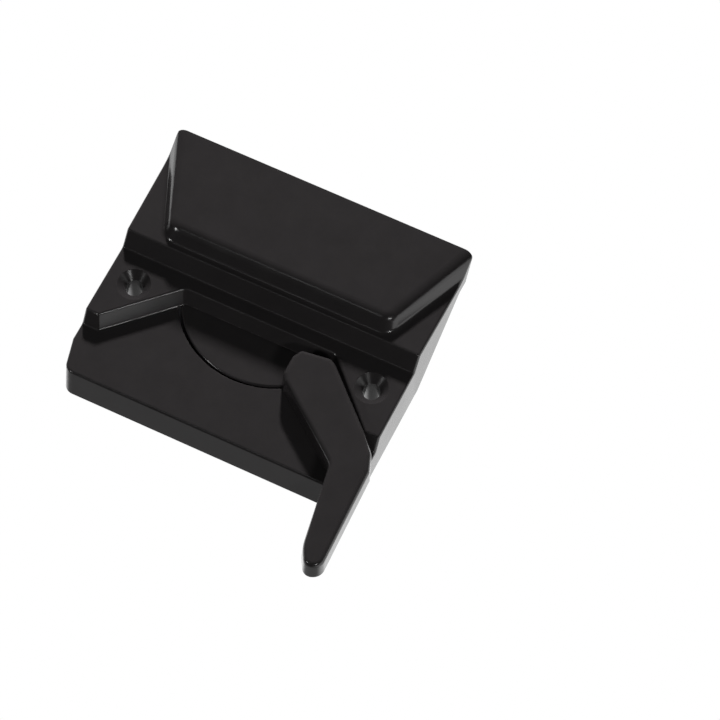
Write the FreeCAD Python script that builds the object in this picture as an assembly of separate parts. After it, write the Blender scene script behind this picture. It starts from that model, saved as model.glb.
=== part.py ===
import FreeCAD, Part
import math
import os

# Gravity gate latch, post half, all lengths in mm.
# Everything is modelled lying on its back: X across the plate, Y towards the gate,
# Z out of the post, origin on the rotor's axis in the mounting plane.
# fit_to_post() then turns it upright: gate side +X, front -Y, up +Z.
# The hood hangs past the post's edge. The rotor's disc carries the lever in front and
# the catch behind. The lever's weight holds the catch up behind the gate's striker bar.

# ---- driving dimensions ------------------------------------------------------------
HOLE_SPACING = 76.2          # between the two mounting screws, 3 in
HOLE_Y = -15.45              # mounting screws, measured from the rotor's axis
MOUNT_HOLE_R = 2.6           # clearance for a #10 or 5 mm screw
COUNTERSINK_R = 5.0
COUNTERSINK_ROUND = 0.3
HALF_WIDTH = 47.25           # of the plate in the mounting plane
SIDE_DRAFT = 0.019           # sides lean in by this much per mm of height
FLARE = 0.02                 # sides open towards the mouth by this much per mm
FOOT_Y = -48.95              # plate's far edge in the mounting plane
FOOT_DRAFT = 0.264
FOOT_CORNER_R = 3.4
FOOT_TAPER_Y = -36.6         # where the sides start to taper to the foot
FOOT_TAPER = 0.254
FLOOR_Z = 8.9                # recess floor above the mounting plane
PLATEAU_Z = 13.5             # level of the screw lobes
SHELF_Z = 18.4
HOOD_Z = 22.8                # hood face at its front edge
HOOD_RISE = 0.0307           # the hood face climbs towards the mouth
STEP_Y = -6.07               # foot of the step up to the shelf
SHELF_Y = -2.4               # the shelf's front edge
WALL = 2.7
BODY_TOP = 30.0              # above everything, for cutting tools
SPREAD = 60.0                # past both sides, for cutting tools
FAR = 45.0                   # past the mouth, for cutting tools
HOOD_FAR = 42.0

RECESS_TOP_Y = -10.05        # recess outline where it meets the plateau
RECESS_DIAGONAL = 14.12      # the diagonals run along y = RECESS_DIAGONAL - |x|
LOBE_END_Y = -28.6
RISER_LEAN = 0.591           # riser's inset per mm of height
RECESS_CORNER_R = 2.5
LOBE_CORNER_R = 0.9
RIM_R = 0.9                  # rounding of the plate's outer edges
STEP_FOOT_R = 1.0
SHELF_EDGE_R = 0.9
RISER_FOOT_R = 0.9
RISER_EDGE_R = 0.9

HOOD_FRONT_Y = -0.9          # foot of the hood's front wall
HOOD_FRONT_LEAN = 0.77
HOOD_FLANK_X = 36.2          # half width at the foot of the front wall
HOOD_FLANK_SLOPE = 0.435     # the flanks spread towards the mouth
HOOD_FLANK_LEAN = 0.598
HOOD_CORNER_R = 6.0
HOOD_INNER_CORNER_R = 3.5
HOOD_FACE_R = 4.0
HOOD_BASE_R = 1.8

RIM_START_Y = -4.3           # the side walls' back edge leaves the mounting plane here
RIM_FLAT_Y = 22.9
RIM_FLAT_Z = 14.8
MOUTH_LOW_Y = 26.6
MOUTH_TOP_Y = 31.8
MOUTH_TOP_Z = 23.7

MOUNT_BOSS_R = 6.2           # solid pillars round the mounting screws
GUIDE_WALL = 2.0             # wall round the disc
RIB_X = 24.0
RIB_T = 2.0
RIB_LENGTH = 21.0

BUFFER_Z = 18.7              # rubber pad inside the hood's face
BUFFER_Y = 9.5
BUFFER_LENGTH = 15.0
BUFFER_HALF = 12.0
BUFFER_CORNER_R = 2.5

DISC_R = 27.8
DISC_GAP = 0.8
DISC_TOP = 8.7
DISC_T = 3.0
DISC_BOTTOM = DISC_TOP - DISC_T
WINDOW_FROM = 102.0          # the disc's cut-away part, degrees from +X
WINDOW_TO = 200.0
HUB_R = 8.5
SKIRT_R = 11.0               # solid part of the disc round the hub
POCKET_CLEARANCE = 0.4       # housing above the disc
RAMP_LAND = 1.1              # flat left above the ramp's edge
RAMP_ANGLE = 45.0

PLATE_T = 2.0                # steel back plate
TONGUE_HALF = 10.0           # the plate's tongue that carries the pivot
TONGUE_Y = 9.0
PLATE_GAP = 0.25
PLATE_CORNER_R = 4.0
PLATE_END = STEP_Y - 1.5
WASHER_R = 7.0
WASHER_T = 1.0
PIN_R = 3.0
PIN_HEAD_R = 4.4
PIN_HEAD_T = 1.4
PIN_TOP = 14.6
BUSH_R = 4.5
RUNNING_GAP = 0.03
HUB_BOTTOM = PLATE_T + WASHER_T + 0.1
FRONT_WASHER_Z = DISC_TOP + 0.05
FRONT_WASHER_T = 0.8
WAVE_Z = FRONT_WASHER_Z + FRONT_WASHER_T
WAVE_T = 0.9                 # over its waves
WAVE_SHEET = 0.3
WAVE_R = 6.4
BOSS_Z = WAVE_Z + WAVE_T
PIVOT_BOSS_R = 7.0

LEVER_BOTTOM = 9.25
LEVER_TOP = 15.9
LEVER_HEAD = [(13.8, -17.2), (15.1, -14.1), (24.1, -12.9), (26.0, -14.0)]
LEVER_OUTER = [(43.5, -30.3), (47.6, -34.9), (49.6, -40.2)]
LEVER_TIP = [(50.5, -72.3), (46.0, -74.4), (42.9, -68.7)]
LEVER_INNER = [(38.4, -42.8), (15.5, -25.2), (13.9, -22.9)]
LEVER_DRAFT = 0.5            # the leading side and the tip reach out further at the bottom
LEVER_EDGE_R = 1.5
LEVER_BEVEL_Z = 14.0         # below this the trailing flank leans in to bed on the riser
LEVER_BEVEL = 2.9
LEVER_SCREW = (17.9, -17.6)
LEVER_DOWELS = [(21.0, -16.3), (16.3, -20.7)]

CATCH_BOTTOM = 2.5
CATCH_IN_R = 11.5
CATCH_OUT_R = 26.8
CATCH_TO = 62.0              # trailing side, degrees from +X
RIVET_ANGLE = 74.0
RIVET_RADII = (15.5, 22.5)
RIVET_R = 1.5
RIVET_HEAD_R = 2.5
RIVET_HEAD_T = 1.0

PLATE_SCREWS = [(-39.5, -41.5), (39.5, -41.5), (-41.0, -26.0), (41.0, -26.0), (0.0, -42.0)]
SCREW_R = 1.45
SCREW_HEAD_R = 2.9
SCREW_END = PLATE_T + 5.4
SCREW_BOSS_R = 3.4
LEVER_SCREW_R = 1.5
LEVER_SCREW_END = LEVER_TOP - 1.6
DOWEL_R = 1.0
DOWEL_START = DISC_BOTTOM + 1.2
DOWEL_END = LEVER_BOTTOM + 3.0


# ---- helpers -----------------------------------------------------------------------
def vec(x, y, z):
    return FreeCAD.Vector(x, y, z)


def polygon(points, z):
    corners = [vec(x, y, z) for x, y in points]
    return Part.makePolygon(corners + corners[:1])


def prism(points, z0, z1):
    return Part.Face(polygon(points, z0)).extrude(vec(0, 0, z1 - z0))


def frustum(lower, z0, upper, z1):
    return Part.makeLoft([polygon(lower, z0), polygon(upper, z1)], True, True)


def side_prism(points, half):
    """A prism across the plate from its outline in the YZ plane."""
    corners = [vec(-half, y, z) for y, z in points]
    face = Part.Face(Part.makePolygon(corners + corners[:1]))
    return face.extrude(vec(2 * half, 0, 0))


def disc(x, y, z0, z1, radius):
    return Part.makeCylinder(radius, z1 - z0, vec(x, y, z0))


def ring(x, y, z0, z1, outer, inner):
    return disc(x, y, z0, z1, outer).cut(disc(x, y, z0 - 1, z1 + 1, inner))


def polar(radius, degrees):
    angle = math.radians(degrees)
    return radius * math.cos(angle), radius * math.sin(angle)


def mirrored(points):
    """Close a right-hand outline with its mirror image in the YZ plane."""
    return points + [(-x, y) for x, y in reversed(points)]


def round_edges(shape, radius, wanted):
    edges = [edge for edge in shape.Edges if wanted(edge)]
    return shape.makeFillet(radius, edges)


def middle(edge):
    return edge.valueAt((edge.FirstParameter + edge.LastParameter) / 2)


def level(edge, z):
    """True for an edge that lies in the plane at height z."""
    ends = [vertex.Z for vertex in edge.Vertexes] + [middle(edge).z]
    return max(abs(end - z) for end in ends) < 1e-4


def runs_across(edge, y, z):
    mid = middle(edge)
    return level(edge, z) and abs(mid.y - y) < 1e-3 and edge.Length > SPREAD


def fit_to_post(shape):
    turned = shape.copy()
    turn = FreeCAD.Matrix(0, 1, 0, 0, 0, 0, -1, 0, -1, 0, 0, 0, 0, 0, 0, 1)
    turned.transformShape(turn)
    return turned


# ---- housing -----------------------------------------------------------------------
def plan_outline(z, inset):
    """The plate's outline at height z: drafted, flared and tapered to the foot."""
    side = HALF_WIDTH - SIDE_DRAFT * z - inset
    foot = FOOT_Y + FOOT_DRAFT * z + inset
    foot_side = side - FOOT_TAPER * (FOOT_TAPER_Y - foot)
    flared = side + FLARE * (FAR - STEP_Y)
    return mirrored([(foot_side, foot), (side, FOOT_TAPER_Y), (side, STEP_Y), (flared, FAR)])


def envelope(inset, z0):
    body = frustum(plan_outline(z0, inset), z0, plan_outline(BODY_TOP, inset), BODY_TOP)
    radius = FOOT_CORNER_R - inset

    def foot_corner(edge):
        low, high = sorted(edge.Vertexes, key=lambda vertex: vertex.Z)
        return high.Z - low.Z > BODY_TOP / 2 and low.Y < FOOT_TAPER_Y - 5

    return round_edges(body, radius, foot_corner)


def side_profile():
    """Keeps the plate, and the hood above its rising back rim and leaning mouth."""
    mouth_lean = (MOUTH_TOP_Y - MOUTH_LOW_Y) / (MOUTH_TOP_Z - RIM_FLAT_Z)
    top_y = MOUTH_TOP_Y + mouth_lean * (BODY_TOP - MOUTH_TOP_Z)
    return side_prism([(-SPREAD, 0), (RIM_START_Y, 0), (RIM_FLAT_Y, RIM_FLAT_Z),
                       (MOUTH_LOW_Y, RIM_FLAT_Z), (top_y, BODY_TOP), (-SPREAD, BODY_TOP)], SPREAD)


def terraces(inset, z0):
    """Plateau and shelf, joined by the leaning step, right across the body."""
    body = side_prism([(-SPREAD, z0), (-SPREAD, PLATEAU_Z - inset),
                       (STEP_Y + inset / 2, PLATEAU_Z - inset),
                       (SHELF_Y + inset / 2, SHELF_Z - inset), (FAR, SHELF_Z - inset), (FAR, z0)],
                      SPREAD)
    if inset:
        return body
    body = round_edges(body, STEP_FOOT_R, lambda edge: runs_across(edge, STEP_Y, PLATEAU_Z))
    return round_edges(body, SHELF_EDGE_R, lambda edge: runs_across(edge, SHELF_Y, SHELF_Z))


def hood_outline(z, inset):
    climb = z - SHELF_Z
    front = HOOD_FRONT_Y + inset + HOOD_FRONT_LEAN * climb

    def flank(y):
        spread = HOOD_FLANK_SLOPE * (y - HOOD_FRONT_Y)
        return HOOD_FLANK_X + spread - HOOD_FLANK_LEAN * climb - inset * 1.3

    return mirrored([(flank(front), front), (flank(HOOD_FAR), HOOD_FAR)])


def hood(inset):
    """The hood above the shelf: a trapezium with leaning walls and a climbing face."""
    low = SHELF_Z - 4.0
    block = frustum(hood_outline(low, inset), low, hood_outline(BODY_TOP, inset), BODY_TOP)
    corner_r = HOOD_INNER_CORNER_R if inset else HOOD_CORNER_R

    def front_corner(edge):
        return edge.Vertexes[0].Z != edge.Vertexes[-1].Z and middle(edge).y < HOOD_FAR / 2

    block = round_edges(block, corner_r, front_corner)
    face_y = HOOD_FRONT_Y + HOOD_FRONT_LEAN * (HOOD_Z - SHELF_Z)
    near = HOOD_Z - inset - HOOD_RISE * (face_y + SPREAD)
    far = HOOD_Z - inset + HOOD_RISE * (SPREAD - face_y)
    above = side_prism([(-SPREAD, near), (SPREAD, far), (SPREAD, 2 * BODY_TOP),
                        (-SPREAD, 2 * BODY_TOP)], SPREAD)
    block = block.cut(above)
    if inset:
        return block

    def face_edge(edge):
        mid = middle(edge)
        height = HOOD_Z + HOOD_RISE * (mid.y - face_y)
        return abs(mid.z - height) < 1e-3 and mid.y < HOOD_FAR - 1

    return round_edges(block, HOOD_FACE_R, face_edge)


def recess_outline(grow):
    top = RECESS_TOP_Y + grow
    diagonal = RECESS_DIAGONAL + grow * math.sqrt(2)
    end = LOBE_END_Y + grow
    far = -1.5 * SPREAD
    wide = 1.5 * SPREAD
    return mirrored([(wide, far), (wide, end), (diagonal - end, end), (diagonal - top, top)])


def recess(grow, floor):
    """The sunk floor's space: open to the foot, with leaning risers round it."""
    low = grow - RISER_LEAN * (PLATEAU_Z - floor)
    high = grow + RISER_LEAN * (BODY_TOP - PLATEAU_Z)
    space = frustum(recess_outline(low), floor, recess_outline(high), BODY_TOP)

    def corner(edge, start, end):
        return edge.Vertexes[0].Z != edge.Vertexes[-1].Z and start < middle(edge).y < end

    space = round_edges(space, RECESS_CORNER_R, lambda edge: corner(edge, LOBE_END_Y / 2, 0))
    return round_edges(space, LOBE_CORNER_R, lambda edge: corner(edge, 1.2 * LOBE_END_Y, LOBE_END_Y / 2))


def side_x(y, z):
    """Half width of the plate at y and z."""
    side = HALF_WIDTH - SIDE_DRAFT * z
    return side - FOOT_TAPER * max(0, FOOT_TAPER_Y - y) + FLARE * max(0, y - STEP_Y)


def on_rim(edge):
    """True for the outer edges of the floor, the plateau and the step up to the shelf."""
    mid = middle(edge)
    ends = edge.Vertexes
    if min(end.Z for end in ends) < 0.5 or mid.y > HOOD_FRONT_Y:
        return False
    at_side = max(abs(abs(end.X) - side_x(end.Y, end.Z)) for end in ends) < 0.05
    return at_side or (level(edge, FLOOR_Z) and mid.y < FOOT_TAPER_Y - 3)


def outer_body():
    body = terraces(0, 0).fuse(hood(0)).removeSplitter()

    def hood_base(edge):
        mid = middle(edge)
        inside = HOOD_FRONT_Y - 0.1 < mid.y < HOOD_FAR - 1 and abs(mid.x) < SPREAD - 1
        return level(edge, SHELF_Z) and inside

    body = round_edges(body, HOOD_BASE_R, hood_base)
    body = body.cut(recess(0, FLOOR_Z)).removeSplitter()

    def riser_edge(edge, z):
        return level(edge, z) and 1.2 * LOBE_END_Y < middle(edge).y < RECESS_TOP_Y + 0.1

    body = round_edges(body, RISER_FOOT_R, lambda edge: riser_edge(edge, FLOOR_Z))
    body = round_edges(body, RISER_EDGE_R, lambda edge: riser_edge(edge, PLATEAU_Z))
    body = body.common(envelope(0, 0)).common(side_profile())
    return round_edges(body, RIM_R, on_rim)


def inner_space():
    deep = -2.0
    space = terraces(WALL, deep).fuse(hood(WALL))
    space = space.cut(recess(WALL, FLOOR_Z - WALL))
    return space.common(envelope(WALL, deep))


def mount_points():
    return [(side * HOLE_SPACING / 2, HOLE_Y) for side in (-1, 1)]


def disc_guide():
    """Half-round wall that the disc turns in, below the step."""
    wall_r = DISC_R + DISC_GAP
    guide = ring(0, 0, PLATE_T, BODY_TOP, wall_r + GUIDE_WALL, wall_r)
    below = Part.makeBox(2 * SPREAD, SPREAD + STEP_Y, SPREAD, vec(-SPREAD, -SPREAD, 0))
    return guide.common(below)


def pillars():
    """Everything solid that stands inside the shell."""
    posts = [disc(x, y, -5, BODY_TOP, MOUNT_BOSS_R) for x, y in mount_points()]
    posts += [disc(x, y, PLATE_T, BODY_TOP, SCREW_BOSS_R) for x, y in PLATE_SCREWS]
    posts.append(disc(0, 0, BOSS_Z, BODY_TOP, PIVOT_BOSS_R))
    posts.append(disc_guide())
    for x in (-RIB_X, RIB_X):
        posts.append(Part.makeBox(RIB_T, RIB_LENGTH, SPREAD, vec(x - RIB_T / 2, FOOT_Y, PLATE_T)))
    return posts


def mounting_holes(body):
    depth = COUNTERSINK_R - MOUNT_HOLE_R
    for x, y in mount_points():
        body = body.cut(disc(x, y, -1, BODY_TOP, MOUNT_HOLE_R))
        sink = Part.makeCone(MOUNT_HOLE_R, COUNTERSINK_R, depth, vec(x, y, PLATEAU_Z - depth))
        body = body.cut(sink)

    def sink_rim(edge):
        spot = (middle(edge).x, middle(edge).y)
        offsets = [abs(math.dist(spot, point) - COUNTERSINK_R) for point in mount_points()]
        return level(edge, PLATEAU_Z) and min(offsets) < 0.01

    return round_edges(body, COUNTERSINK_ROUND, sink_rim)


def housing():
    space = inner_space()
    for post in pillars():
        space = space.cut(post)
    body = outer_body().cut(space)
    body = body.cut(disc(0, 0, -1, DISC_TOP + POCKET_CLEARANCE, DISC_R + DISC_GAP))
    body = body.fuse(disc(0, 0, BOSS_Z, PLATEAU_Z, PIVOT_BOSS_R)).removeSplitter()
    body = body.cut(disc(0, 0, BOSS_Z - 1, PIN_TOP + 0.2, PIN_R))
    body = mounting_holes(body)
    for x, y in PLATE_SCREWS:
        body = body.cut(disc(x, y, PLATE_T - 1, SCREW_END + 0.1, SCREW_R))
    return body


# ---- back plate and pivot ----------------------------------------------------------
def back_plate():
    flat = prism(plan_outline(PLATE_T, WALL + PLATE_GAP), 0, PLATE_T)
    keep = Part.makeBox(2 * SPREAD, SPREAD + PLATE_END, PLATE_T, vec(-SPREAD, -SPREAD, 0))
    length = TONGUE_Y - 2 * PLATE_END
    tongue = Part.makeBox(2 * TONGUE_HALF, length, PLATE_T, vec(-TONGUE_HALF, 2 * PLATE_END, 0))
    plate = flat.common(keep).fuse(tongue).removeSplitter()

    def outer_corner(edge):
        mid = middle(edge)
        return edge.Length < PLATE_T + 0.1 and not FOOT_TAPER_Y - 5 < mid.y < TONGUE_Y - 1

    plate = round_edges(plate, PLATE_CORNER_R, outer_corner)
    for x, y in mount_points():
        plate = plate.cut(disc(x, y, -1, PLATE_T + 1, MOUNT_BOSS_R + 0.4))
    for x, y in PLATE_SCREWS:
        plate = plate.cut(screw_solid(x, y))
    return plate.cut(pivot_pin())


def screw_solid(x, y):
    """M3 countersunk screw with its head flush in the mounting plane."""
    head_t = SCREW_HEAD_R - SCREW_R
    head = Part.makeCone(SCREW_HEAD_R, SCREW_R, head_t, vec(x, y, 0))
    return head.fuse(disc(x, y, head_t - 0.05, SCREW_END, SCREW_R)).removeSplitter()


def cross_recess(screw, x, y, z):
    long, short, depth = 3.0, 0.6, 0.9
    for across, along in ((short, long), (long, short)):
        slot = Part.makeBox(across, along, depth, vec(x - across / 2, y - along / 2, z))
        screw = screw.cut(slot)
    return screw


def back_plate_screws():
    return Part.makeCompound([cross_recess(screw_solid(x, y), x, y, 0) for x, y in PLATE_SCREWS])


def pivot_pin():
    head = Part.makeCone(PIN_HEAD_R, PIN_R, PIN_HEAD_T, vec(0, 0, 0))
    pin = head.fuse(disc(0, 0, PIN_HEAD_T - 0.1, PIN_TOP, PIN_R)).removeSplitter()
    return round_edges(pin, 0.6, lambda edge: level(edge, PIN_TOP))


def thrust_washer(z, thickness):
    return ring(0, 0, z, z + thickness, WASHER_R, PIN_R + 0.1)


def wave_washer():
    """A thin ring bent into three waves."""
    swing = (WAVE_T - WAVE_SHEET) / 2 - 0.02
    mid_z = WAVE_Z + WAVE_T / 2
    steps = 24
    rails = []
    for radius in (PIN_R + 0.3, WAVE_R):
        for side in (-0.5, 0.5):
            points = []
            for step in range(steps):
                angle = 2 * math.pi * step / steps
                height = mid_z + side * WAVE_SHEET + swing * math.cos(3 * angle)
                points.append(vec(radius * math.cos(angle), radius * math.sin(angle), height))
            curve = Part.BSplineCurve()
            curve.interpolate(Points=points, PeriodicFlag=True)
            rails.append(Part.Wire(curve.toShape()))
    low_in, high_in, low_out, high_out = rails
    pairs = ((low_in, low_out), (low_out, high_out), (high_out, high_in), (high_in, low_in))
    faces = [Part.makeRuledSurface(a.Edges[0], b.Edges[0]) for a, b in pairs]
    shell = Part.Shell([face for ruled in faces for face in ruled.Faces])
    shell.sewShape()
    return Part.Solid(shell)


def striker_buffer():
    """Rubber pad bonded inside the hood's face, where the striker bar stops."""
    corner = vec(-BUFFER_HALF, BUFFER_Y, BUFFER_Z)
    block = Part.makeBox(2 * BUFFER_HALF, BUFFER_LENGTH, BODY_TOP, corner)
    block = block.common(inner_space())

    def upright(edge):
        return abs(edge.Vertexes[0].Z - edge.Vertexes[-1].Z) > 1

    return round_edges(block, BUFFER_CORNER_R, upright)


# ---- rotor -------------------------------------------------------------------------
def sector(start, end, radius, z0, z1):
    """A pie slice about the rotor's axis, from start to end in degrees."""
    points = [(0.0, 0.0)]
    steps = 6
    for step in range(steps + 1):
        points.append(polar(radius, start + (end - start) * step / steps))
    return prism(points, z0, z1)


def ramp():
    """Space above the ramp that the closing striker bar pushes on."""
    size = 2 * SPREAD
    block = Part.makeBox(size, size, size, vec(0, 0, -size))
    block.rotate(vec(0, 0, 0), vec(1, 0, 0), -RAMP_ANGLE)
    block.rotate(vec(0, 0, 0), vec(0, 0, 1), WINDOW_FROM)
    block.translate(vec(0, 0, DISC_TOP - RAMP_LAND))
    return block


def rotor_disc():
    plate = disc(0, 0, DISC_BOTTOM, DISC_TOP, DISC_R)
    plate = round_edges(plate, 0.7, lambda edge: level(edge, DISC_TOP))
    window = sector(WINDOW_FROM, WINDOW_TO, 2 * DISC_R, DISC_BOTTOM - 1, DISC_TOP + 1)
    window = window.cut(disc(0, 0, 0, BODY_TOP, SKIRT_R))
    plate = plate.cut(window)
    hub = disc(0, 0, HUB_BOTTOM, DISC_TOP, HUB_R)
    bevel = ramp().cut(disc(0, 0, -SPREAD, BODY_TOP, SKIRT_R))
    plate = plate.cut(bevel).fuse(hub).removeSplitter()
    plate = plate.cut(disc(0, 0, 0, BODY_TOP, BUSH_R))
    for cutter in [lever_screw_solid()] + lever_dowel_parts() + catch_rivet_parts():
        plate = plate.cut(cutter)
    return plate


def hub_bush():
    return ring(0, 0, HUB_BOTTOM, DISC_TOP, BUSH_R, PIN_R + RUNNING_GAP)


def catch():
    """Wedge behind the disc that holds the striker bar."""
    block = sector(CATCH_TO, WINDOW_FROM, SPREAD, CATCH_BOTTOM, DISC_BOTTOM)
    block = block.common(ring(0, 0, CATCH_BOTTOM, DISC_BOTTOM, CATCH_OUT_R, CATCH_IN_R))
    block = block.cut(ramp())
    for cutter in catch_rivet_parts():
        block = block.cut(cutter)
    return block


def catch_rivet_parts():
    rivets = []
    for radius in RIVET_RADII:
        x, y = polar(radius, RIVET_ANGLE)
        shank = disc(x, y, CATCH_BOTTOM, DISC_TOP, RIVET_R)
        head_z = DISC_TOP - RIVET_HEAD_T
        head = Part.makeCone(RIVET_R, RIVET_HEAD_R, RIVET_HEAD_T, vec(x, y, head_z))
        tail = Part.makeCone(RIVET_HEAD_R, RIVET_R, RIVET_HEAD_T, vec(x, y, CATCH_BOTTOM))
        rivets.append(shank.fuse(head).fuse(tail).removeSplitter())
    return rivets


def catch_rivets():
    return Part.makeCompound(catch_rivet_parts())


# ---- lever -------------------------------------------------------------------------
def bevel_prism(start, end):
    """Wedge cut along one flank, from a sharp edge at LEVER_BEVEL_Z inwards below it."""
    along = vec(end[0] - start[0], end[1] - start[1], 0).normalize()
    inward = vec(-along.y, along.x, 0)
    overrun = 12.0
    aside = 9.0
    begin = vec(start[0], start[1], 0) - along * overrun
    drop = LEVER_BEVEL_Z - LEVER_BOTTOM
    top = vec(0, 0, LEVER_BEVEL_Z)
    low = vec(0, 0, LEVER_BOTTOM - 1)
    reach = LEVER_BEVEL * (drop + 1) / drop
    corners = [begin + top, begin - inward * aside + top, begin - inward * aside + low,
               begin + inward * reach + low]
    face = Part.Face(Part.makePolygon(corners + corners[:1]))
    return face.extrude(along * (math.dist(start, end) + overrun))


def lever_outline(reach):
    """The lever seen from the front, with its leading side and tip moved out by reach."""
    tip = [(x, y - reach) for x, y in LEVER_TIP[:2]]
    leading = [(x - reach, y - reach) for x, y in LEVER_TIP[2:] + LEVER_INNER]
    return LEVER_HEAD + LEVER_OUTER + tip + leading


def lever_arm():
    arm = frustum(lever_outline(LEVER_DRAFT), LEVER_BOTTOM, lever_outline(0), LEVER_TOP)

    def upright_near(spots, edge):
        mid = middle(edge)
        steep = abs(edge.Vertexes[0].Z - edge.Vertexes[-1].Z) > 5
        return steep and any(math.dist((mid.x, mid.y), spot) < 1.0 for spot in spots)

    corners = ((1.9, LEVER_HEAD + LEVER_INNER[1:]), (4.0, LEVER_OUTER[1:2]), (5.0, LEVER_INNER[:1]),
               (3.4, LEVER_TIP[:1]), (2.8, LEVER_TIP[1:2]), (12.0, LEVER_TIP[2:]))
    for radius, spots in corners:
        arm = round_edges(arm, radius, lambda edge: upright_near(spots, edge))
    arm = round_edges(arm, LEVER_EDGE_R, lambda edge: level(edge, LEVER_TOP))
    arm = arm.cut(bevel_prism(LEVER_OUTER[0], LEVER_HEAD[3]))
    arm = arm.cut(bevel_prism(LEVER_HEAD[2], LEVER_HEAD[1]))
    return arm.fuse(lever_pad()).removeSplitter()


def lever_pad():
    """The lever's foot on the disc, round its screw."""
    pad = prism(lever_outline(0), DISC_TOP, LEVER_BOTTOM + 0.5)
    x, y = LEVER_SCREW
    return pad.common(disc(x, y, 0, BODY_TOP, 5.0)).common(disc(0, 0, 0, BODY_TOP, DISC_R - 1))


def lever_screw_solid():
    x, y = LEVER_SCREW
    head_r = 2 * LEVER_SCREW_R
    head = Part.makeCone(head_r, LEVER_SCREW_R, LEVER_SCREW_R, vec(x, y, DISC_BOTTOM))
    shank = disc(x, y, DISC_BOTTOM + LEVER_SCREW_R - 0.1, LEVER_SCREW_END, LEVER_SCREW_R)
    return head.fuse(shank).removeSplitter()


def lever_screw():
    x, y = LEVER_SCREW
    return cross_recess(lever_screw_solid(), x, y, DISC_BOTTOM)


def lever_dowel_parts():
    return [disc(x, y, DOWEL_START, DOWEL_END, DOWEL_R) for x, y in LEVER_DOWELS]


def lever_dowels():
    return Part.makeCompound(lever_dowel_parts())


def bored_lever_arm():
    arm = lever_arm()
    for cutter in [lever_screw_solid()] + lever_dowel_parts():
        arm = arm.cut(cutter)
    return arm


# ---- output ------------------------------------------------------------------------
PARTS = {
    "housing": housing,
    "back_plate": back_plate,
    "back_plate_screws": back_plate_screws,
    "pivot_pin": pivot_pin,
    "rear_thrust_washer": lambda: thrust_washer(PLATE_T, WASHER_T),
    "front_thrust_washer": lambda: thrust_washer(FRONT_WASHER_Z, FRONT_WASHER_T),
    "wave_washer": wave_washer,
    "striker_buffer": striker_buffer,
    "rotor_disc": rotor_disc,
    "hub_bush": hub_bush,
    "catch": catch,
    "catch_rivets": catch_rivets,
    "lever_arm": bored_lever_arm,
    "lever_screw": lever_screw,
    "lever_dowels": lever_dowels,
}

os.makedirs("parts", exist_ok=True)
for name, make in PARTS.items():
    shape = fit_to_post(make())
    print(name, "valid" if shape.isValid() else "INVALID", len(shape.Solids), round(shape.Volume, 1))
    shape.exportStep("parts/" + name + ".step")
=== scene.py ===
import math

import bpy
from mathutils import Matrix, Vector

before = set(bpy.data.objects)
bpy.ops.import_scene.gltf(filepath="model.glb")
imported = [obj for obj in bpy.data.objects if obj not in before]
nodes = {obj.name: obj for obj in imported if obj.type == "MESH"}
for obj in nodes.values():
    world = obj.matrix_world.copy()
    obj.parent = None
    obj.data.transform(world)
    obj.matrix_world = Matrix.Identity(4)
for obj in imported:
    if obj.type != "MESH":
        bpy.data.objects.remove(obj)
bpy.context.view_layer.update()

# Gravity gate latch, post half. Everything is in metres: +X towards the gate, -Y out of the
# post, +Z up. The CAD pieces keep their shapes; this script gives them materials and light.

WHITE = (1.0, 1.0, 1.0, 1.0)

# ---- camera ------------------------------------------------------------------------
ELEVATION = math.radians(62.5)     # of the view above the mounting plane
TURN = math.radians(26.16)         # of the latch in that plane
AIM = Vector((-0.00256, 0.0, -0.02811))    # the middle of the picture
DISTANCE = 1.0731
LENS = 185.54                      # mm
SENSOR = 36.0                      # mm

# ---- the studio round the latch, by the direction that it is seen in -------------------
STUDIO_DARK = 0.02                 # strength in front of the latch
STUDIO_WHITE = 1.5                 # strength behind it
HORIZON_TILT = (-0.5, 1.0, -0.2)   # weights of |X|, Y and Z in the height above the horizon
HORIZON = (-0.27, -0.12)           # heights between which dark turns into white
SHADED = (0.8, 1.2)                # over this span of Y - X, towards the foot, the white dims
SHADED_SHARE = 0.26                # what is left of it past that

# ---- soft boxes: direction from AIM, size as long and short side, power in watts -------
SOFT_BOXES = {
    "top_light": {"direction": (0.806, -0.497, 0.311), "distance": 1.5, "size": (0.12, 0.12),
                  "power": 30.5, "mirrored": False},
    "left_light": {"direction": (-0.677, -0.480, 0.558), "distance": 1.0, "size": (0.15, 0.08),
                   "power": 1.2},
    "right_light": {"direction": (-0.539, -0.596, -0.596), "distance": 1.0, "size": (0.20, 0.08),
                    "power": 1.4},
    "low_light": {"direction": (-0.60, -0.77, 0.20), "distance": 1.0, "size": (0.24, 0.08),
                  "power": 0.09, "lights": False},
}

# ---- floor -------------------------------------------------------------------------
FLOOR_REACH = 40.0
FLOOR_HEIGHT = -1.0                # far below, because the latch hangs on a post
FLOOR_GRAY = (0.5, 0.5, 0.5)
FLOOR_ROUGHNESS = 0.9
FLOOR_GLOW = 0.75                  # keeps the far floor as pale as a lit studio sweep

# ---- surfaces; a noise has a scale in features per metre, a detail and a roughness -----
NOISE_SPAN = (0.3, 0.7)            # holds most of a noise texture's values

BLACK = (0.0345, 0.0318, 0.0325)
PAINT_GLOSS_NOISE = (90.0, 4.0, 0.5)
PAINT_GLOSS_CHANGE = (-0.03, 0.04)
PEEL_NOISE = (700.0, 2.0, 0.5)
PEEL_STRENGTH = 0.12
PEEL_DEPTH = 0.00002
PAINT_CLOUD_NOISE = (140.0, 6.0, 0.65)
PAINT_CLOUD_SHADES = (0.93, 1.07)
RUBBED_RADIUS = 0.0006             # how far from an edge the paint is rubbed
RUBBED_SAMPLES = 6
RUBBED_COSINES = (0.90, 0.995)     # of rounded to plain normal, at an edge and off it
RUBBED_NOISE = (500.0, 4.0, 0.5)
RUBBED_SPAN = (0.45, 0.7)          # of that noise, from no rubbing to full
RUBBED_SHADE = 2.0

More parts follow.
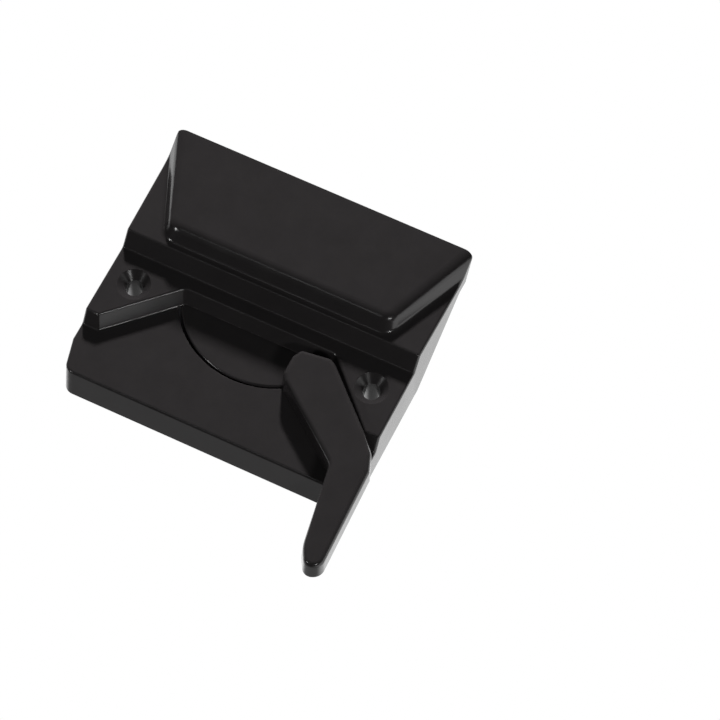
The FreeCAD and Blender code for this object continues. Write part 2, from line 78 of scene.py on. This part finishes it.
METAL_GLOSS_NOISE = (250.0, 4.0, 0.6)
METAL_GLOSS_CHANGE = (-0.08, 0.10)
METAL_CLOUD_NOISE = (120.0, 5.0, 0.6)
METAL_CLOUD_SHADE = 0.88
METAL_GRAIN_NOISE = (2500.0, 2.0, 0.5)
METAL_GRAIN_DEPTH = 0.00002
EVEN = (1.0, 1.0, 1.0)
TURNED = (1.0, 8.0, 1.0)           # packs the grain along the rotor's axis

PLASTIC_GLOSS_NOISE = (200.0, 3.0, 0.5)
PLASTIC_GLOSS_CHANGE = (-0.05, 0.05)
PLASTIC_CLOUD_NOISE = (300.0, 3.0, 0.5)
PLASTIC_CLOUD_SHADE = 0.9
PLASTIC_GRAIN_NOISE = (1800.0, 2.0, 0.5)
PLASTIC_GRAIN_DEPTH = 0.00003


# ---- shader nodes --------------------------------------------------------------------
def add(tree, kind, **values):
    """A new node, with values for its inputs by name."""
    node = tree.nodes.new("ShaderNode" + kind)
    for key, value in values.items():
        node.inputs[key.replace("_", " ")].default_value = value
    return node


def feed(tree, socket, value):
    """Link a socket to another node's output, or set it to a plain value."""
    if isinstance(value, bpy.types.NodeSocket):
        tree.links.new(value, socket)
    else:
        socket.default_value = value


def combine(tree, kind, operation, *sources):
    """The value of a Math or VectorMath node."""
    node = add(tree, kind)
    node.operation = operation
    for socket, source in zip(node.inputs, sources):
        feed(tree, socket, source)
    return node.outputs["Value"]


def remap(tree, source, low, high, span=NOISE_SPAN, smooth=False):
    """low at the start of the span, high at its end."""
    node = add(tree, "MapRange", From_Min=span[0], From_Max=span[1], To_Min=low, To_Max=high)
    if smooth:
        node.interpolation_type = "SMOOTHSTEP"
    tree.links.new(source, node.inputs["Value"])
    return node.outputs["Result"]


def noise(tree, scale, detail, roughness, stretch=EVEN):
    """Noise in object space."""
    where = add(tree, "TexCoord")
    mapping = add(tree, "Mapping", Scale=stretch)
    texture = add(tree, "TexNoise", Scale=scale, Detail=detail, Roughness=roughness)
    tree.links.new(where.outputs["Object"], mapping.inputs["Vector"])
    tree.links.new(mapping.outputs["Vector"], texture.inputs["Vector"])
    return texture.outputs["Fac"]


def scaled(color, share):
    return tuple(channel * share for channel in color)


def blend(tree, mask, first, second):
    """The first colour where the mask is 0, the second where it is 1."""
    mix = add(tree, "Mix")
    mix.data_type = "RGBA"
    for key, color in (("A", first), ("B", second)):
        feed(tree, mix.inputs[key], (*color, 1.0) if isinstance(color, tuple) else color)
    tree.links.new(mask, mix.inputs["Factor"])
    return mix.outputs["Result"]


# ---- camera --------------------------------------------------------------------------
def view_axes():
    """The picture's right, up and towards-the-camera directions."""
    right = Vector((math.sin(TURN), 0.0, -math.cos(TURN)))
    up = Vector((math.sin(ELEVATION) * math.cos(TURN), -math.cos(ELEVATION),
                 math.sin(ELEVATION) * math.sin(TURN)))
    back = Vector((-math.cos(ELEVATION) * math.cos(TURN), -math.sin(ELEVATION),
                   -math.cos(ELEVATION) * math.sin(TURN)))
    return right, up, back


def placed(axes, spot):
    """The matrix of something at a spot, with its own X, Y and Z along the axes."""
    return Matrix.Translation(spot) @ Matrix(axes).transposed().to_4x4()


def make_camera():
    data = bpy.data.cameras.new("photo_camera")
    data.lens = LENS
    data.sensor_width = SENSOR
    camera = bpy.data.objects.new("photo_camera", data)
    axes = view_axes()
    back = axes[2]
    camera.matrix_world = placed(axes, AIM + back * DISTANCE)
    bpy.context.scene.collection.objects.link(camera)
    bpy.context.scene.camera = camera


# ---- light and surroundings ----------------------------------------------------------
def studio_strength(tree):
    """White behind the latch and dark in front of it, with a tilted horizon between."""
    where = add(tree, "TexCoord")
    split = add(tree, "SeparateXYZ")
    tree.links.new(where.outputs["Generated"], split.inputs["Vector"])
    x, y, z = split.outputs
    folded = add(tree, "CombineXYZ")
    for key, part in (("X", combine(tree, "Math", "ABSOLUTE", x)), ("Y", y), ("Z", z)):
        tree.links.new(part, folded.inputs[key])
    height = combine(tree, "VectorMath", "DOT_PRODUCT", folded.outputs["Vector"], HORIZON_TILT)
    level = remap(tree, height, STUDIO_DARK, STUDIO_WHITE, HORIZON, smooth=True)
    towards_foot = combine(tree, "Math", "SUBTRACT", y, x)
    share = remap(tree, towards_foot, 1.0, SHADED_SHARE, SHADED, smooth=True)
    return combine(tree, "Math", "MULTIPLY", level, share)


def make_world():
    """The studio to everything but the camera, which sees plain white."""
    world = bpy.data.worlds.new("studio")
    world.use_nodes = True
    tree = world.node_tree
    tree.nodes.clear()
    output = add(tree, "OutputWorld")
    mix = add(tree, "MixShader")
    path = add(tree, "LightPath")
    studio = add(tree, "Background", Color=WHITE)
    plain = add(tree, "Background", Color=WHITE)
    tree.links.new(studio_strength(tree), studio.inputs["Strength"])
    tree.links.new(path.outputs["Is Camera Ray"], mix.inputs["Fac"])
    tree.links.new(studio.outputs["Background"], mix.inputs[1])
    tree.links.new(plain.outputs["Background"], mix.inputs[2])
    tree.links.new(mix.outputs["Shader"], output.inputs["Surface"])
    bpy.context.scene.world = world


def soft_box(name, direction, distance, size, power, lights=True, mirrored=True):
    """A soft box that faces the latch; its long side runs round the latch's front."""
    data = bpy.data.lights.new(name, "AREA")
    data.shape = "RECTANGLE"
    data.size, data.size_y = size
    data.energy = power
    light = bpy.data.objects.new(name, data)
    way = Vector(direction).normalized()
    side = Vector((0.0, -1.0, 0.0)).cross(way).normalized()
    light.matrix_world = placed((side, way.cross(side), way), AIM + way * distance)
    light.visible_camera = False
    light.visible_diffuse = lights
    light.visible_glossy = mirrored
    bpy.context.scene.collection.objects.link(light)


def make_floor():
    mesh = bpy.data.meshes.new("floor")
    corners = [(x * FLOOR_REACH, y * FLOOR_REACH, FLOOR_HEIGHT)
               for x, y in ((-1, -1), (1, -1), (1, 1), (-1, 1))]
    mesh.from_pydata(corners, [], [(0, 1, 2, 3)])
    floor = bpy.data.objects.new("floor", mesh)
    bpy.context.scene.collection.objects.link(floor)
    pale, shader = new_material("pale_floor", FLOOR_GRAY, FLOOR_ROUGHNESS)
    shader.inputs["Specular IOR Level"].default_value = 0.0
    shader.inputs["Emission Color"].default_value = WHITE
    shader.inputs["Emission Strength"].default_value = FLOOR_GLOW
    mesh.materials.append(pale)
    floor.visible_glossy = False
    floor.visible_diffuse = False


# ---- materials -----------------------------------------------------------------------
def new_material(name, color, roughness, metallic=0.0):
    material = bpy.data.materials.new(name)
    material.use_nodes = True
    shader = material.node_tree.nodes["Principled BSDF"]
    shader.inputs["Base Color"].default_value = (*color, 1.0)
    shader.inputs["Roughness"].default_value = roughness
    shader.inputs["Metallic"].default_value = metallic
    return material, shader


def vary_gloss(tree, shader, roughness, change, pattern):
    varied = remap(tree, pattern, roughness + change[0], roughness + change[1])
    tree.links.new(varied, shader.inputs["Roughness"])


def bump(tree, shader, height, strength, depth):
    node = add(tree, "Bump", Strength=strength, Distance=depth)
    tree.links.new(height, node.inputs["Height"])
    tree.links.new(node.outputs["Normal"], shader.inputs["Normal"])


def edge_mask(tree):
    """1 on the edges and corners, 0 on the flats."""
    bevel = add(tree, "Bevel", Radius=RUBBED_RADIUS)
    bevel.samples = RUBBED_SAMPLES
    plain = add(tree, "NewGeometry").outputs["Normal"]
    cosine = combine(tree, "VectorMath", "DOT_PRODUCT", bevel.outputs["Normal"], plain)
    return remap(tree, cosine, 1.0, 0.0, RUBBED_COSINES)


def paint(name, roughness=0.19):
    """Semi-gloss black paint: fine orange peel, faint cloudiness and rubbed edges."""
    material, shader = new_material(name, BLACK, roughness)
    tree = material.node_tree
    vary_gloss(tree, shader, roughness, PAINT_GLOSS_CHANGE, noise(tree, *PAINT_GLOSS_NOISE))
    bump(tree, shader, noise(tree, *PEEL_NOISE), PEEL_STRENGTH, PEEL_DEPTH)
    patches = remap(tree, noise(tree, *RUBBED_NOISE), 0.0, 1.0, RUBBED_SPAN)
    rubbed = combine(tree, "Math", "MULTIPLY", edge_mask(tree), patches)
    clouds = remap(tree, noise(tree, *PAINT_CLOUD_NOISE), 0.0, 1.0)
    dark, light = PAINT_CLOUD_SHADES
    cloudy = blend(tree, clouds, scaled(BLACK, dark), scaled(BLACK, light))
    color = blend(tree, rubbed, cloudy, scaled(BLACK, RUBBED_SHADE))
    tree.links.new(color, shader.inputs["Base Color"])
    return material


def metal(name, color, roughness, grain, stretch=EVEN):
    """Bare or plated metal with a fine grain and cloudy patches."""
    material, shader = new_material(name, color, roughness, 1.0)
    tree = material.node_tree
    vary_gloss(tree, shader, roughness, METAL_GLOSS_CHANGE, noise(tree, *METAL_GLOSS_NOISE, stretch))
    clouds = remap(tree, noise(tree, *METAL_CLOUD_NOISE), 0.0, 1.0)
    cloudy = blend(tree, clouds, color, scaled(color, METAL_CLOUD_SHADE))
    tree.links.new(cloudy, shader.inputs["Base Color"])
    bump(tree, shader, noise(tree, *METAL_GRAIN_NOISE, stretch), grain, METAL_GRAIN_DEPTH)
    return material


def plastic(name, color, roughness, grain):
    """Moulded acetal or rubber with a fine even grain."""
    material, shader = new_material(name, color, roughness)
    tree = material.node_tree
    vary_gloss(tree, shader, roughness, PLASTIC_GLOSS_CHANGE, noise(tree, *PLASTIC_GLOSS_NOISE))
    clouds = remap(tree, noise(tree, *PLASTIC_CLOUD_NOISE), 0.0, 1.0)
    cloudy = blend(tree, clouds, color, scaled(color, PLASTIC_CLOUD_SHADE))
    tree.links.new(cloudy, shader.inputs["Base Color"])
    bump(tree, shader, noise(tree, *PLASTIC_GRAIN_NOISE), grain, PLASTIC_GRAIN_DEPTH)
    return material


def dress(material, *names):
    for name in names:
        mesh = nodes[name].data
        mesh.materials.clear()
        mesh.materials.append(material)


def dress_all():
    dress(paint("black_housing"), "housing")
    dress(paint("black_rotor"), "rotor_disc")
    dress(paint("black_lever", roughness=0.20), "lever_arm")
    dress(metal("zinc_plate", (0.40, 0.41, 0.42), roughness=0.38, grain=0.25), "back_plate")
    dress(metal("zinc_screw", (0.50, 0.50, 0.48), roughness=0.30, grain=0.15),
          "back_plate_screws", "lever_screw")
    dress(metal("stainless", (0.46, 0.455, 0.44), roughness=0.24, grain=0.15, stretch=TURNED),
          "pivot_pin", "catch_rivets", "lever_dowels")
    dress(metal("hardened_steel", (0.34, 0.335, 0.32), roughness=0.33, grain=0.2), "catch")
    dress(metal("spring_steel", (0.30, 0.29, 0.28), roughness=0.28, grain=0.1), "wave_washer")
    dress(plastic("acetal", (0.74, 0.73, 0.69), roughness=0.42, grain=0.1),
          "hub_bush", "rear_thrust_washer", "front_thrust_washer")
    dress(plastic("rubber", (0.022, 0.022, 0.022), roughness=0.75, grain=0.5), "striker_buffer")


# ---- the scene -----------------------------------------------------------------------
make_camera()
make_world()
for name, setting in SOFT_BOXES.items():
    soft_box(name, **setting)
dress_all()
make_floor()

bpy.context.scene.view_settings.view_transform = "Standard"
